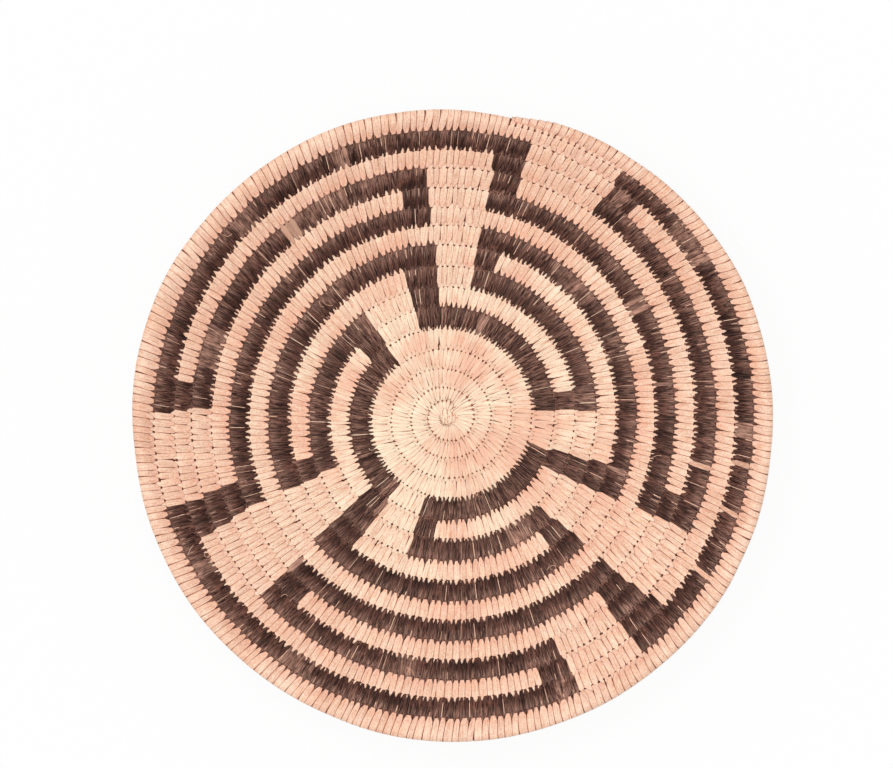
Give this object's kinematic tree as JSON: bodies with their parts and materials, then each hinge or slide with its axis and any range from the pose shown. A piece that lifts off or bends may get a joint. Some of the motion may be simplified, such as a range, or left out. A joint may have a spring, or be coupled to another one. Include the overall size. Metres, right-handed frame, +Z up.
{
  "type": "winnowing tray",
  "caption": "Shallow round coiled-basketry tray, a grass coil sewn with natural and dark palm splints in a stepped pattern, for tossing and cleaning grain.",
  "frame": {"origin": "under the start knot, on the plane that the flat base rests on", "axes": "+Z up out of the mouth, +Y towards the place on the rim where the turns are counted from, near which the coil ends"},
  "size_m": [0.3192, 0.3147, 0.0399],
  "materials": {
    "natural_splint": "matte undyed palm splint, cream with a pink cast",
    "dark_splint": "matte palm splint dyed dark brown, faded in places",
    "grass": "dry grass stems"
  },
  "bodies": {
    "root": {"start_knot": "natural_splint", "grass_foundation_coil": "grass", "turn_01_natural_splint": "natural_splint", "turn_02_natural_splint": "natural_splint", "turn_03_natural_splint": "natural_splint", "turn_04_natural_splint": "natural_splint", "turn_05_natural_splint": "natural_splint", "turn_05_dark_splint": "dark_splint", "turn_06_natural_splint": "natural_splint", "turn_06_dark_splint": "dark_splint", "turn_07_natural_splint": "natural_splint", "turn_07_dark_splint": "dark_splint", "turn_08_natural_splint": "natural_splint", "turn_08_dark_splint": "dark_splint", "turn_09_natural_splint": "natural_splint", "turn_09_dark_splint": "dark_splint", "turn_10_natural_splint": "natural_splint", "turn_11_natural_splint": "natural_splint", "turn_11_dark_splint": "dark_splint", "turn_12_natural_splint": "natural_splint", "turn_12_dark_splint": "dark_splint", "turn_13_natural_splint": "natural_splint", "turn_13_dark_splint": "dark_splint", "turn_14_natural_splint": "natural_splint", "turn_14_dark_splint": "dark_splint", "turn_15_natural_splint": "natural_splint", "turn_15_dark_splint": "dark_splint", "turn_16_natural_splint": "natural_splint", "rim_end_binding": "natural_splint"}
  },
  "joints": []
}
